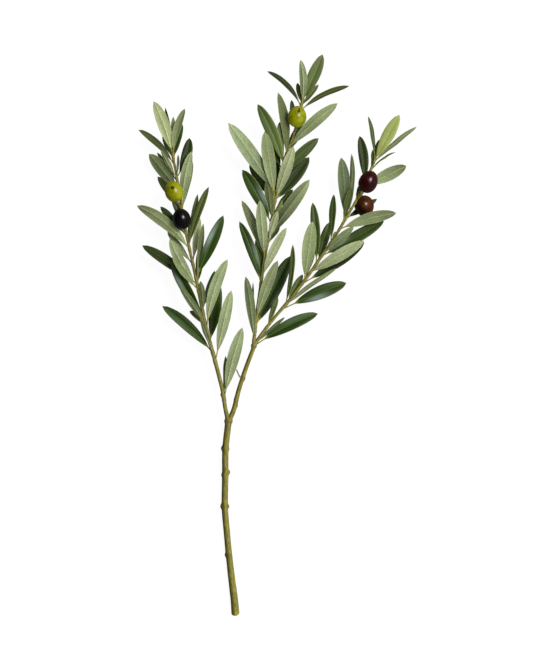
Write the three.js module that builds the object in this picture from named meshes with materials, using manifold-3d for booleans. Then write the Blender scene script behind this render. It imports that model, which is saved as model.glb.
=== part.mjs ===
import * as THREE from "three";
import { mergeVertices } from "three/addons/utils/BufferGeometryUtils.js";
import Module from "manifold-3d";

// An olive branch, cut from its tree and laid down: a bare main stem, three leafy twigs and five olives.
// Millimetres, +Z up. The branch lies along Y with its cut end toward -Y, and rests on z = 0.

const wasm = await Module();
wasm.setup();

// Plan positions are millimetres on a drawing sheet, with x to the right and y down toward the cut end.
// The sheet's middle is the middle of the branch.
const sheetMiddle = { x: 276.75, y: 335.75 };

// Flat ends that face each other, and an olive and its stalk, are this far apart.
const jointGap = 0.3;

const woodSides = 8;
const stemSides = 10;
const stalkSides = 5;
const woodStep = 15;
const knotDetail = 1;

// A leaf is a thin diamond in section, thickest at its midrib, on a short stalk.
// bladeRise and bladeFall set how fast the outline widens from the stalk and narrows to the tip.
const leafStalkShare = 0.1;
const leafStalkRadius = 0.65;
const leafTipThickness = 0.9;
const bladeRise = 0.85;
const bladeFall = 0.7;
const bladeStations = [0.13, 0.38, 0.66, 0.9];

// A blade is folded along its midrib toward its upper face, by this share of its half-width.
const bladeFold = 0.16;

// A leaf that climbs bows upward by archUp of its length. One that drops does most of it near its foot,
// and archDown is the share of the drop that is left at its bending point.
const archUp = 0.05;
const archDown = 0.12;

const oliveSides = 16;
const oliveRings = 9;
const olivePoint = 0.06;
const fruitStalkRadius = 0.75;

// Wood, as rows of x, y, z of the axis and diameter. z is the height above the surface.
const trunkRows = [
  [235.3, 616.3, 3.6, 7.8],
  [234.2, 600, 3.4, 7.3],
  [230.6, 571, 3.0, 6.5],
  [227.3, 539, 3.2, 6.1],
  [224.8, 507, 4.2, 6.2],
  [225.2, 475, 6.0, 6.2],
  [225.4, 450, 8.2, 6.2],
  [228.4, 421.5, 11.5, 6.4],
];
const limbRows = [
  [228.4, 421.5, 11.5, 5.4],
  [233.6, 410, 12.2, 4.6],
  [238.8, 390, 13, 4.3],
  [245.2, 370, 13.8, 4.2],
  [252.6, 350.4, 14.6, 4.2],
];
const leftRows = [
  [228.4, 421.5, 11.5, 4.6],
  [225.2, 408, 12.9, 3.9],
  [222.4, 390, 14.5, 3.8],
  [214.8, 360, 16.5, 3.8],
  [206.6, 330, 18, 3.6],
  [200.4, 300, 19, 3.3],
  [194.2, 270, 20, 2.8],
  [187.6, 240, 21, 2.5],
  [182, 210, 21.5, 2.3],
  [177.2, 180, 21.5, 2.0],
  [172.3, 152, 21, 1.6],
];
const middleRows = [
  [253.5, 346, 15, 4.0],
  [255, 330, 16.5, 3.5],
  [257.2, 310, 18, 3.2],
  [261.5, 280, 20, 2.9],
  [266.2, 250, 21.5, 2.8],
  [271.7, 220, 22.5, 2.6],
  [277, 190, 23, 2.5],
  [284.2, 160, 23.5, 2.3],
  [293, 137, 23.5, 2.0],
  [299.8, 112, 23, 1.8],
  [303.6, 96, 22.5, 1.5],
];
const rightRows = [
  [252.7, 350, 14.6, 4.2],
  [254.4, 345, 15, 3.8],
  [262.5, 333, 15.8, 3.4],
  [275, 317, 16.8, 3.2],
  [290, 299.5, 18, 3.1],
  [306, 278.5, 19.5, 3.0],
  [320, 258.5, 20.5, 2.8],
  [334, 238, 21.5, 2.6],
  [346, 218, 22.5, 2.5],
  [357, 199, 23, 2.3],
  [367.5, 178, 23, 2.1],
  [375.8, 156, 22.5, 1.7],
];

// Sheet y at which a twig's own wood begins, just clear of the fork that carries it.
const leftTwigStart = 411.5;
const middleTwigStart = 338;

// Swollen knots and bud scars: x, y, height of the centre, and the radii across, along and upward.
const stemKnots = [
  [228.6, 421.8, 11.4, 4.1, 4.2, 3.6],
  [222.9, 449, 8.2, 1.7, 2.6, 1.5],
  [228.2, 449.5, 8.2, 1.0, 1.8, 1.2],
  [228.2, 472.5, 6.2, 1.6, 2.6, 1.5],
  [222.7, 474.5, 6.2, 1.3, 2.0, 1.4],
  [222.3, 506.5, 4.4, 1.8, 2.8, 1.6],
  [228.0, 506.5, 4.4, 1.3, 2.0, 1.4],
  [229.4, 555, 5.6, 1.8, 2.4, 1.2],
  [225.3, 555.5, 3.4, 1.3, 1.8, 1.3],
  [234.6, 399, 12.7, 1.1, 1.8, 1.2],
  [237.1, 406, 12.5, 1.3, 1.6, 1.2],
  [242.9, 378.5, 13.5, 2.8, 2.6, 2.6],
];
const leftKnots = [
  [220.9, 395, 14.2, 1.1, 1.8, 1.2],
  [224.9, 393.8, 14.2, 1.0, 1.5, 1.2],
];
const rightKnots = [[253.9, 345.8, 14.9, 3.1, 3.2, 2.8]];

// Leaves, as rows of: sheet y of the foot on the twig, x and y of the tip, width of the blade,
// turn about the midrib in degrees (right edge up, looking from the foot), rise of the tip above the
// foot, sideways bow (to the left, looking from the foot), and the look of the face that shows:
// pale and grey are undersides, mid, dark and deep are upper sides.
const leftLeaves = [
  [399, 242.5, 327.5, 12, 8, 14, 2, "pale"],
  [396, 225.5, 356, 8, -40, -6, 0, "dark"],
  [362, 231.5, 290.5, 11.5, 5, 13, 0.5, "pale"],
  [353, 162, 306, 11, -15, -4, -3.5, "dark"],
  [353, 200, 318, 8, 55, 6, 0, "grey"],
  [343, 219, 283, 12, 0, -16, 0, "deep"],
  [331, 227.8, 259.5, 11.5, 5, 14, 4.5, "pale"],
  [329, 189.5, 311, 5.5, -15, -3, -2, "dark"],
  [326, 179, 288, 8, 40, -7, 0, "grey"],
  [321, 171, 262, 11.5, 15, 4, 0, "dark"],
  [314, 200.3, 281, 7, 30, 6, -1, "grey"],
  [310, 214.8, 270.5, 8.5, -35, -9, 0, "dark"],
  [291, 172.5, 257.5, 8, -40, 14, 0, "pale"],
  [286, 170, 239, 10.5, 15, 8, 2.5, "pale"],
  [286, 201, 245, 8, 10, -15, 0, "deep"],
  [284, 142, 245.5, 11.5, -15, -2, -1.5, "dark"],
  [284, 203.5, 223.5, 8, -45, 5, 0, "grey"],
  [278, 223.5, 215.5, 12.5, -15, 8, 0, "dark"],
  [265, 167.5, 231, 8, -30, -3, 0, "grey"],
  [263, 200, 218, 8.5, -35, -6, 0, "grey"],
  [250, 137, 206, 12, 10, 8, -5, "pale"],
  [249, 189, 222, 6, 60, 3, 0, "grey"],
  [246, 209, 187, 9.5, 35, 4, 1.5, "mid"],
  [246, 197.7, 194, 6, 15, -4, 0, "mid"],
  [236, 160.3, 206.5, 8, -20, -5, 0, "dark"],
  [228, 172, 198, 7, 30, -8, 0, "grey"],
  [212, 183, 172, 7, 40, -7, 0, "dark"],
  [211, 192.8, 162, 8, 30, 2, 1, "pale"],
  [210, 191.7, 151.5, 9.5, 15, 6, 2.5, "pale"],
  [206, 157.3, 176, 8.5, 5, -21.6, 0, "dark"],
  [192, 149, 153.5, 13.5, 25, -6, -1, "grey"],
  [182, 157, 152.5, 7, -45, -9, 0, "dark"],
  [179, 161, 150.5, 7, 45, 2, 0, "grey"],
  [178, 189.5, 138, 11, -15, -3, -2.5, "dark"],
  [179, 178.3, 155, 6, 65, 4, 0, "grey"],
  [166, 138.5, 129.5, 8, -25, -4, -4, "dark"],
  [160, 162.5, 135.5, 5.5, -20, -12, 0, "dark"],
  [160, 182.5, 124, 7, 10, -15, 1, "deep"],
  [158, 185.5, 109, 10, -15, 9, 3.8, "grey"],
  [157, 165.5, 107.5, 6, 40, -2, 0, "dark"],
  [155, 154, 101.5, 12, 12, 10, -2, "pale"],
  [153, 173.5, 117, 5, 15, 6, 0, "mid"],
];
const middleLeaves = [
  [336, 245.7, 276.5, 9, 15, 5, -1, "grey"],
  [331, 253, 282.5, 5, 65, 2, 0, "dark"],
  [326, 290.7, 255.5, 15, 0, -16.9, 0, "deep"],
  [320, 278, 260.5, 13, 0, 11, 0, "pale"],
  [284, 239.3, 221.5, 10, 10, 2, -2, "dark"],
  [284, 254, 240, 7, -20, -7, 0, "dark"],
  [283, 264, 256, 5, 60, 3, 0, "grey"],
  [278, 286.5, 228, 9, -5, 9, 1.5, "pale"],
  [263, 268, 231, 6, 40, -7, 0, "dark"],
  [260, 241.7, 200.5, 10, -25, -3, -2.5, "grey"],
  [259, 259.7, 200.5, 12, 10, 12, 0, "pale"],
  [245, 280, 226, 5, 30, -8, 0, "dark"],
  [241, 277.5, 211.5, 7, 15, 8, 0, "pale"],
  [238, 309.5, 180, 12.5, 5, 10, 1, "pale"],
  [226, 282.3, 200.5, 5, 15, 3, 0, "mid"],
  [224, 242.3, 170, 13, 10, 1, -2, "dark"],
  [217, 267, 178, 6, 50, 3, 0, "grey"],
  [214, 293, 189.5, 7, 20, -4, 0, "dark"],
  [202, 277, 160, 6, 40, -8, 0, "deep"],
  [201, 249.5, 163, 11, -5, -20, 0, "deep"],
  [201, 293.5, 147, 11.5, 10, 12, 0, "pale"],
  [201, 309.3, 157, 12.5, -10, -7, 0, "dark"],
  [200, 264.7, 132, 13, -8, 12, 0, "pale"],
  [193, 228.3, 123.5, 15, 5, 8, -1.5, "pale"],
  [178, 318.7, 138.5, 11.5, -15, 0, 1.5, "dark"],
  [170, 272, 146.5, 7, -20, -9, 0, "deep"],
  [164, 257.5, 104.5, 12, 10, 1, -3, "mid"],
  [161, 280.5, 121.5, 8, -20, -4, 2, "grey"],
  [155, 278, 93, 9, -20, 4, -3.5, "grey"],
  [153, 303, 122, 7.5, 15, -6, 0, "dark"],
  [148, 337.5, 104, 11.5, 10, 9, 3, "pale"],
  [130, 291.5, 100, 6, 20, -8, 0, "dark"],
  [112, 349.5, 86, 6.5, -35, -2, 5.5, "dark"],
  [108, 267, 71.5, 6.5, -30, -3, -5, "dark"],
  [107, 318.5, 85, 5, 45, 3, 0, "grey"],
  [105, 297.3, 83, 5, 20, -4, 0, "dark"],
  [103, 300.5, 60.5, 7.5, 25, 9, -2, "pale"],
  [100, 322.5, 55, 12, -10, 5, 0, "mid"],
];
const rightLeaves = [
  [346, 318, 313.5, 12, 10, 0, 1, "dark"],
  [344, 285, 317, 6, 45, -6, 0.5, "grey"],
  [327, 278, 297, 7, 35, 8, 0, "mid"],
  [309.5, 346.5, 283, 14, 10, 0, 1, "dark"],
  [307, 337, 268, 7.5, 50, 6, 2, "grey"],
  [305, 292.8, 244.5, 8, 45, 8, -2.5, "dark"],
  [303, 303, 274, 6, 20, -4, 0.5, "dark"],
  [286.5, 364.5, 242.5, 12, 5, -2, 2, "dark"],
  [281, 312.5, 221.5, 13.5, -5, 10, 0, "pale"],
  [279, 364, 241, 12, 5, 12, 0, "pale"],
  [279, 315, 242, 7, 20, -9, 0, "dark"],
  [264, 312.5, 202.5, 9.5, 10, 1, -1.5, "dark"],
  [262, 329.5, 222, 9.5, 5, -18, 0, "deep"],
  [256, 384, 221, 12.5, 10, 1, -0.5, "dark"],
  [254, 354, 227, 7, -35, 6, 0, "grey"],
  [244, 335.5, 231.5, 2.5, 0, 3, 0, "mid"],
  [243, 333.8, 194.5, 8.5, 30, 5, 0, "grey"],
  [229.5, 396, 213.5, 11, 5, 13, 2.5, "pale"],
  [224, 350.7, 187, 8, -30, 7, 0, "grey"],
  [220, 341, 157.7, 12.5, 10, 2, -1.5, "grey"],
  [219, 377.5, 198.5, 7, 5, -22.5, 0, "dark"],
  [213, 351.3, 154, 8, 50, 2, -1.5, "dark"],
  [203, 360, 185, 5, 45, 2, 0, "dark"],
  [187, 406.3, 166, 13, -5, -1, 0, "pale"],
  [185, 359.5, 136, 10, -15, -3, -2, "dark"],
  [173, 372.5, 150, 5, 40, 3, -1.5, "mid"],
  [172, 395.5, 152.5, 5, 68, 1, 2.5, "grey"],
  [163, 416.5, 127, 7.5, 50, 3, 3, "grey"],
  [162, 399, 115.5, 12.5, 8, 9, 0, "mid"],
  [160, 380, 139.5, 5, 20, -5, 0, "dark"],
  [160, 368, 116.5, 6.5, -40, 0, -1.5, "dark"],
];
const underFaces = ["pale", "grey"];

// Olives: the centre, the point on the sheet where the stalk enters, its height, both diameters,
// and the sheet y on the twig where the stalk starts.
const olives = [
  { name: "olive_green_left", centre: [174, 191.3, 31.8], stalkEnd: [177.6, 201.2, 30.4], across: 17.4,
    along: 21.3, stalkFoot: 212, color: 0x9ba00a },
  { name: "olive_black", centre: [181.9, 218.8, 31.9], stalkEnd: [183.2, 228.2, 28.4], across: 17.8,
    along: 20.6, stalkFoot: 236, color: 0x0e0a12 },
  { name: "olive_green_middle", centre: [297, 116.5, 33.9], stalkEnd: [296, 126.6, 31.2], across: 18.3,
    along: 21.5, stalkFoot: 132, color: 0xa0a40c },
  { name: "olive_purple", centre: [368, 181.8, 33.9], stalkEnd: [363.4, 191.7, 31.8], across: 18.5,
    along: 22.6, stalkFoot: 200, color: 0x25060c },
  { name: "olive_brown", centre: [364.4, 206, 17], stalkEnd: [361.9, 196, 18.6], across: 18.6,
    along: 21.4, stalkFoot: 193.5, color: 0x3c1a0a },
];

const barkMaterial = { color: 0x8f8a42, roughness: 0.6, metalness: 0 };
const leafMaterial = { color: 0x6e8450, roughness: 0.5, metalness: 0 };

// A point of the part from its place on the sheet and its height.
function at(x, y, z) {
  return new THREE.Vector3(x - sheetMiddle.x, sheetMiddle.y - y, z);
}

// A limb is a smooth curve through its rows, with a diameter that changes evenly between them.
function makeLimb(rows) {
  const points = rows.map(([x, y, z]) => at(x, y, z));
  const curve = new THREE.CatmullRomCurve3(points, false, "catmullrom", 0.5);
  const shareAt = (y) => {
    const last = rows.length - 2;
    const found = rows.findIndex((row, i) => i < last && y >= rows[i + 1][1]);
    const i = found < 0 ? last : found;
    return (i + (rows[i][1] - y) / (rows[i][1] - rows[i + 1][1])) / (rows.length - 1);
  };
  const radiusAt = (share) => {
    const place = share * (rows.length - 1);
    const i = Math.min(Math.floor(place), rows.length - 2);
    return THREE.MathUtils.lerp(rows[i][3], rows[i + 1][3], place - i) / 2;
  };
  return { curve, shareAt, radiusAt, startY: rows[0][1], endY: rows[rows.length - 1][1] };
}

// Directions across a path and away from the surface, at right angles to its tangent.
function framesOf(tangent) {
  const side = new THREE.Vector3().crossVectors(tangent, new THREE.Vector3(0, 0, 1)).normalize();
  const up = new THREE.Vector3().crossVectors(side, tangent);
  return { side, up };
}

// A closed solid through rings of equally many points, with flat ends, or pointed where tip is given.
// The triangles' diagonals alternate round a ring, so that both faces of a thin blade split alike.
function loft(rings, tip) {
  const count = rings[0].length;
  const points = rings.flat();
  const index = [];
  for (let i = 0; i < rings.length - 1; i += 1) {
    for (let k = 0; k < count; k += 1) {
      const next = (k + 1) % count;
      const a = i * count + k;
      const b = i * count + next;
      const c = b + count;
      const d = a + count;
      index.push(...(k % 2 === 0 ? [a, b, c, a, c, d] : [a, b, d, b, c, d]));
    }
  }
  const lastRing = (rings.length - 1) * count;
  for (let k = 1; k < count - 1; k += 1) {
    index.push(0, k + 1, k);
  }
  if (tip) {
    points.push(tip);
    for (let k = 0; k < count; k += 1) {
      index.push(lastRing + k, lastRing + ((k + 1) % count), points.length - 1);
    }
  } else {
    for (let k = 1; k < count - 1; k += 1) {
      index.push(lastRing, lastRing + k, lastRing + k + 1);
    }
  }
  const geometry = new THREE.BufferGeometry().setFromPoints(points);
  geometry.setIndex(index);
  return geometry;
}

function roundRing(centre, tangent, radius, sides) {
  const { side, up } = framesOf(tangent);
  return Array.from({ length: sides }, (_, k) => {
    const angle = (2 * Math.PI * (k + 0.5)) / sides;
    return centre
      .clone()
      .addScaledVector(side, -radius * Math.cos(angle))
      .addScaledVector(up, radius * Math.sin(angle));
  });
}

// The wood of a limb between two places on it, given by their sheet y.
function makeWood(limb, fromY, toY, sides) {
  const from = limb.shareAt(fromY);
  const to = limb.shareAt(toY);
  const steps = Math.max(1, Math.round(Math.abs(fromY - toY) / woodStep));
  const rings = Array.from({ length: steps + 1 }, (_, i) => {
    const share = THREE.MathUtils.lerp(from, to, i / steps);
    return roundRing(limb.curve.getPoint(share), limb.curve.getTangent(share), limb.radiusAt(share), sides);
  });
  return loft(rings);
}

function makeKnot([x, y, z, across, along, up]) {
  const centre = at(x, y, z);
  return new THREE.OctahedronGeometry(1, knotDetail)
    .scale(across, along, up)
    .translate(centre.x, centre.y, centre.z);
}

// A blade's width at a share of its length, as a share of the widest: 0 at both ends.
function bladeShare(t) {
  const widest = bladeRise / (bladeRise + bladeFall);
  return (t / widest) ** bladeRise * ((1 - t) / (1 - widest)) ** bladeFall;
}

// A leaf's midrib: it starts inside the twig, bows sideways, and arches or sags on its way to the tip.
function makeMidrib(foot, tip, bow) {
  const along = tip.clone().sub(foot);
  const left = new THREE.Vector3(-along.y, along.x, 0).normalize();
  const bend = foot.clone().lerp(tip, 0.5).addScaledVector(left, 2 * bow);
  bend.z = tip.z < foot.z
    ? tip.z + archDown * (foot.z - tip.z)
    : bend.z + 2 * archUp * along.length();
  return new THREE.QuadraticBezierCurve3(foot, bend, tip);
}

function makeLeaf(limb, [footY, tipX, tipY, width, turn, rise, bow, face]) {
  const foot = limb.curve.getPoint(limb.shareAt(footY));
  const tip = at(tipX, tipY, foot.z + rise);
  const midrib = makeMidrib(foot, tip, bow);
  const fold = underFaces.includes(face) ? -bladeFold : bladeFold;
  const roll = THREE.MathUtils.degToRad(turn);
  const stations = [
    [0, leafStalkRadius, 0],
    [leafStalkShare, leafStalkRadius, 0],
    ...bladeStations.map((t) => {
      const half = Math.max(leafStalkRadius, (bladeShare(t) * width) / 2);
      return [leafStalkShare + (1 - leafStalkShare) * t, half, fold * half];
    }),
  ];
  const rings = stations.map(([share, half, lift]) => {
    const centre = midrib.getPoint(share);
    const { side, up } = framesOf(midrib.getTangent(share));
    const across = side.clone().multiplyScalar(Math.cos(roll)).addScaledVector(up, Math.sin(roll));
    const away = up.clone().multiplyScalar(Math.cos(roll)).addScaledVector(side, -Math.sin(roll));
    const thick = THREE.MathUtils.lerp(leafStalkRadius, leafTipThickness / 2, share);
    const edge = (sign) => centre.clone().addScaledVector(across, sign * half).addScaledVector(away, lift);
    return [
      edge(-1),
      centre.clone().addScaledVector(away, thick),
      edge(1),
      centre.clone().addScaledVector(away, -thick),
    ];
  });
  return loft(rings, tip);
}

// An olive's place and the line from its stalk to its far end.
function olivePlace({ centre, stalkEnd, along }) {
  const middle = at(...centre);
  const direction = middle.clone().sub(at(...stalkEnd)).normalize();
  const stalkPoint = middle.clone().addScaledVector(direction, -along / 2);
  return { middle, direction, stalkPoint };
}

// An olive: a lathed egg, blunt at its stalk and slightly pointed at its far end.
function makeOlive(olive) {
  const profile = Array.from({ length: oliveRings + 1 }, (_, i) => {
    const angle = (Math.PI * i) / oliveRings;
    const atEnd = i === 0 || i === oliveRings;
    const radius = (olive.across / 2) * Math.sin(angle) * (1 + olivePoint * Math.cos(angle));
    return new THREE.Vector2(atEnd ? 0 : radius, (-olive.along / 2) * Math.cos(angle));
  });
  const { middle, direction } = olivePlace(olive);
  const turned = new THREE.Quaternion().setFromUnitVectors(new THREE.Vector3(0, 1, 0), direction);
  return new THREE.LatheGeometry(profile, oliveSides)
    .applyQuaternion(turned)
    .translate(middle.x, middle.y, middle.z);
}

// The stalk that carries an olive: it leaves the twig and ends flat, just short of the fruit.
function makeFruitStalk(limb, olive) {
  const { direction, stalkPoint } = olivePlace(olive);
  const foot = limb.curve.getPoint(limb.shareAt(olive.stalkFoot));
  const end = stalkPoint.clone().addScaledVector(direction, -jointGap);
  const bend = end.clone().addScaledVector(direction, -foot.distanceTo(end) / 3);
  const path = new THREE.QuadraticBezierCurve3(foot, bend, end);
  const rings = [0, 0.5, 1].map((t) =>
    roundRing(path.getPoint(t), path.getTangent(t), fruitStalkRadius, stalkSides));
  return loft(rings);
}

function toSolid(geometry) {
  geometry.deleteAttribute("normal");
  geometry.deleteAttribute("uv");
  const merged = mergeVertices(geometry, 1e-4);
  return new wasm.Manifold(new wasm.Mesh({
    numProp: 3,
    vertProperties: new Float32Array(merged.attributes.position.array),
    triVerts: new Uint32Array(merged.index.array),
  }));
}

// Solids grown together, with whatever dips below the surface cut off flat.
function growTogether(geometries) {
  const slab = toSolid(new THREE.BoxGeometry(1000, 1000, 20).translate(0, 0, -10));
  return geometries
    .map(toSolid)
    .reduce((whole, piece) => whole.add(piece))
    .subtract(slab);
}

function toMesh(name, solid, look) {
  const { vertProperties, triVerts } = solid.getMesh();
  const geometry = new THREE.BufferGeometry();
  geometry.setAttribute("position", new THREE.BufferAttribute(vertProperties, 3));
  geometry.setIndex(new THREE.BufferAttribute(triVerts, 1));
  geometry.computeVertexNormals();
  const mesh = new THREE.Mesh(geometry, new THREE.MeshStandardMaterial(look));
  mesh.name = name;
  return mesh;
}

function makeMainStem() {
  const trunk = makeLimb(trunkRows);
  const limb = makeLimb(limbRows);
  const left = makeLimb(leftRows);
  const solid = growTogether([
    makeWood(trunk, trunk.startY, trunk.endY, stemSides),
    makeWood(limb, limb.startY, limb.endY, stemSides),
    makeWood(left, left.startY, leftTwigStart + jointGap, woodSides),
    ...stemKnots.map(makeKnot),
  ]);
  return toMesh("main_stem", solid, barkMaterial);
}

function makeLeafyTwig(name, limb, startY, leaves, twigOlives, extras) {
  const solid = growTogether([
    makeWood(limb, startY, limb.endY, woodSides),
    ...leaves.map((leaf) => makeLeaf(limb, leaf)),
    ...twigOlives.map((olive) => makeFruitStalk(limb, olive)),
    ...extras,
  ]);
  return toMesh(name, solid, leafMaterial);
}

const leftLimb = makeLimb(leftRows);
const middleLimb = makeLimb(middleRows);
const rightLimb = makeLimb(rightRows);
const middleStub = makeWood(middleLimb, middleLimb.startY, middleTwigStart + jointGap, woodSides);

const branch = new THREE.Group();
branch.add(makeMainStem());
branch.add(makeLeafyTwig("left_leafy_twig", leftLimb, leftTwigStart, leftLeaves,
  olives.slice(0, 2), leftKnots.map(makeKnot)));
branch.add(makeLeafyTwig("middle_leafy_twig", middleLimb, middleTwigStart, middleLeaves,
  olives.slice(2, 3), []));
branch.add(makeLeafyTwig("right_leafy_twig", rightLimb, rightLimb.startY, rightLeaves,
  olives.slice(3), [middleStub, ...rightKnots.map(makeKnot)]));
for (const olive of olives) {
  const look = { color: olive.color, roughness: 0.25, metalness: 0 };
  branch.add(toMesh(olive.name, toSolid(makeOlive(olive)), look));
}

// The origin is the middle of the branch's box, on the surface that it lies on.
const box = new THREE.Box3().setFromObject(branch);
const middle = box.getCenter(new THREE.Vector3());
branch.position.set(-middle.x, -middle.y, -box.min.z);

export default branch;
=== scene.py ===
import bpy
import numpy as np
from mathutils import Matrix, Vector


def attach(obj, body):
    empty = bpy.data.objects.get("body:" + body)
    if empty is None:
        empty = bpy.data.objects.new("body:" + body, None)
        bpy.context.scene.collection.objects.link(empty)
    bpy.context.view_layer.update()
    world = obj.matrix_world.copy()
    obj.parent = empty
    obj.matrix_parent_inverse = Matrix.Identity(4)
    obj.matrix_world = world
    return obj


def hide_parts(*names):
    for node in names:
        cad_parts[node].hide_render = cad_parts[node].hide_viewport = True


# An olive branch, laid down and seen from above: bare stem, three leafy twigs and five olives.
# Lengths are worked out in millimetres and become metres when a mesh is made.
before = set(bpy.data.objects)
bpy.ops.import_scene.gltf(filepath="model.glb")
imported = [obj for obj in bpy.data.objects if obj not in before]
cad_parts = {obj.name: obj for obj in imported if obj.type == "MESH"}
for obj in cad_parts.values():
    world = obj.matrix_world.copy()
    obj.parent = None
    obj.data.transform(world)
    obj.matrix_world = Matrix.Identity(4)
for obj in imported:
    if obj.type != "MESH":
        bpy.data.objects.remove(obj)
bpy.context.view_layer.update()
mmPerMetre = 1000
print("frame loaded:", ", ".join(sorted(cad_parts)))

# Shared tools


def linear(hexColour):
    # An sRGB hex colour as linear red, green, blue and 1: c / 12.92 up to 0.04045, and above it
    # ((c + 0.055) / 1.055)^2.4.
    values = np.array([int(hexColour[i:i + 2], 16) for i in (1, 3, 5)]) / 255
    light = np.where(values <= 0.04045, values / 12.92, ((values + 0.055) / 1.055) ** 2.4)
    return (*light.tolist(), 1.0)


def blend(base, hexColour, share):
    # base + (colour - base) * share, for an array of linear colours and a share for each.
    return base + (np.array(linear(hexColour)[:3]) - base) * share[..., None]


def addNode(material, kind, settings=None, links=None):
    # One shader node: settings are its properties or input values, links its inputs' sources.
    node = material.node_tree.nodes.new("ShaderNode" + kind)
    for name, value in (settings or {}).items():
        if isinstance(name, str) and hasattr(node, name):
            setattr(node, name, value)
        else:
            node.inputs[name].default_value = value
    for name, (source, output) in (links or {}).items():
        material.node_tree.links.new(source.outputs[output], node.inputs[name])
    return node


def newMaterial(name):
    # A material whose node tree is still empty.
    material = bpy.data.materials.new(name)
    material.use_nodes = True
    material.node_tree.nodes.clear()
    return material


def finishMaterial(material, settings, links):
    # The material's one shader, with its settings and links, joined to the output.
    shader = addNode(material, "BsdfPrincipled", settings, links)
    addNode(material, "OutputMaterial", links={"Surface": (shader, "BSDF")})
    return material


def unit(vectors):
    # Each vector divided by its own length.
    return vectors / np.linalg.norm(vectors, axis=-1, keepdims=True)


def smoothStep(low, high, values):
    # share^2 * (3 - 2 share), where share goes from 0 at low to 1 at high.
    share = np.clip((values - low) / (high - low), 0, 1)
    return share * share * (3 - 2 * share)


def lengthsAlong(points):
    # The length of a path up to each of its points: the running sum of the steps between them.
    return np.concatenate([[0], np.cumsum(np.linalg.norm(np.diff(points, axis=0), axis=1))])


def quadratic(start, bend, end, t):
    # The curve start (1 - t)^2 + 2 bend t (1 - t) + end t^2, and its unit tangents.
    points = start * (1 - t) ** 2 + bend * 2 * t * (1 - t) + end * t**2
    return points, unit(2 * (1 - t) * (bend - start) + 2 * t * (end - bend))


# The branch is laid out on a drawing sheet in millimetres, x to the right and y down to the cut end.
sheetMiddle = (276.75, 335.75)


def fromSheet(places):
    # Sheet x and y and height z in the part's frame: x - the middle's x, the middle's y - y, and z.
    x, y, z = np.moveaxis(np.asarray(places, float), -1, 0)
    return np.stack([x - sheetMiddle[0], sheetMiddle[1] - y, z], -1)


def framesOf(tangents):
    # side = tangent x vertical, up = side x tangent: the directions across a path and away from the floor.
    side = unit(np.cross(tangents, [0, 0, 1.0]))
    return side, np.cross(side, tangents)


def makePiece(name, shells, materials, slotName, *nodes):
    # One mesh from closed shells. A shell holds its grid, which is rings of points along the piece, and
    # values for each point. It may name a material for each column of faces, and one for its first cap.
    # Each end is closed by a fan of triangles to the middle of its ring.
    points = []
    faces = []
    faceMaterials = []
    values = {}
    start = 0
    for shell in shells:
        grid = shell["grid"].copy()
        grid[..., 2] = np.maximum(grid[..., 2], 0)     # what touches the floor lies flat on it
        rings, sides = grid.shape[:2]
        index = start + np.arange(rings * sides).reshape(rings, sides)
        onward = np.roll(index, -1, axis=1)
        quads = np.stack([index[:-1], onward[:-1], onward[1:], index[1:]], -1).reshape(-1, 4)
        ends = start + rings * sides + np.arange(2)
        first = np.stack([np.full(sides, ends[0]), onward[0], index[0]], -1)
        last = np.stack([np.full(sides, ends[1]), index[-1], onward[-1]], -1)
        points.append(np.vstack([grid.reshape(-1, 3), grid[0].mean(0), grid[-1].mean(0)]))
        faces += quads.tolist() + first.tolist() + last.tolist()
        columns = np.broadcast_to(shell.get("columns", 0), sides)
        cap = np.broadcast_to(shell.get("cap", columns), sides)
        faceMaterials.append(np.concatenate([np.tile(columns, rings - 1), cap, columns]))
        for key, array in shell["values"].items():
            flat = array.reshape(rings * sides, -1)
            values.setdefault(key, []).append(np.vstack([flat, array[0].mean(0), array[-1].mean(0)]))
        start += len(points[-1])
    mesh = bpy.data.meshes.new(name)
    mesh.from_pydata((np.vstack(points) / mmPerMetre).tolist(), [], faces)
    for material in materials:
        mesh.materials.append(material)
    mesh.polygons.foreach_set("material_index", np.concatenate(faceMaterials).astype(np.int32))
    mesh.polygons.foreach_set("use_smooth", np.ones(len(faces), bool))
    for key, arrays in values.items():
        isColour = key.endswith("Colour")
        attribute = mesh.attributes.new(key, "FLOAT_COLOR" if isColour else "FLOAT_VECTOR", "POINT")
        flat = np.vstack(arrays).astype(np.float32).ravel()
        attribute.data.foreach_set("color" if isColour else "vector", flat)
    mesh.validate()
    piece = bpy.data.objects.new(name, mesh)
    bpy.context.scene.collection.objects.link(piece)
    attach(piece, "root")
    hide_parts(*nodes)
    print("made", name, "with", len(faces), "faces")
    return piece


# Wood: limbs, knots and stalks

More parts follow.
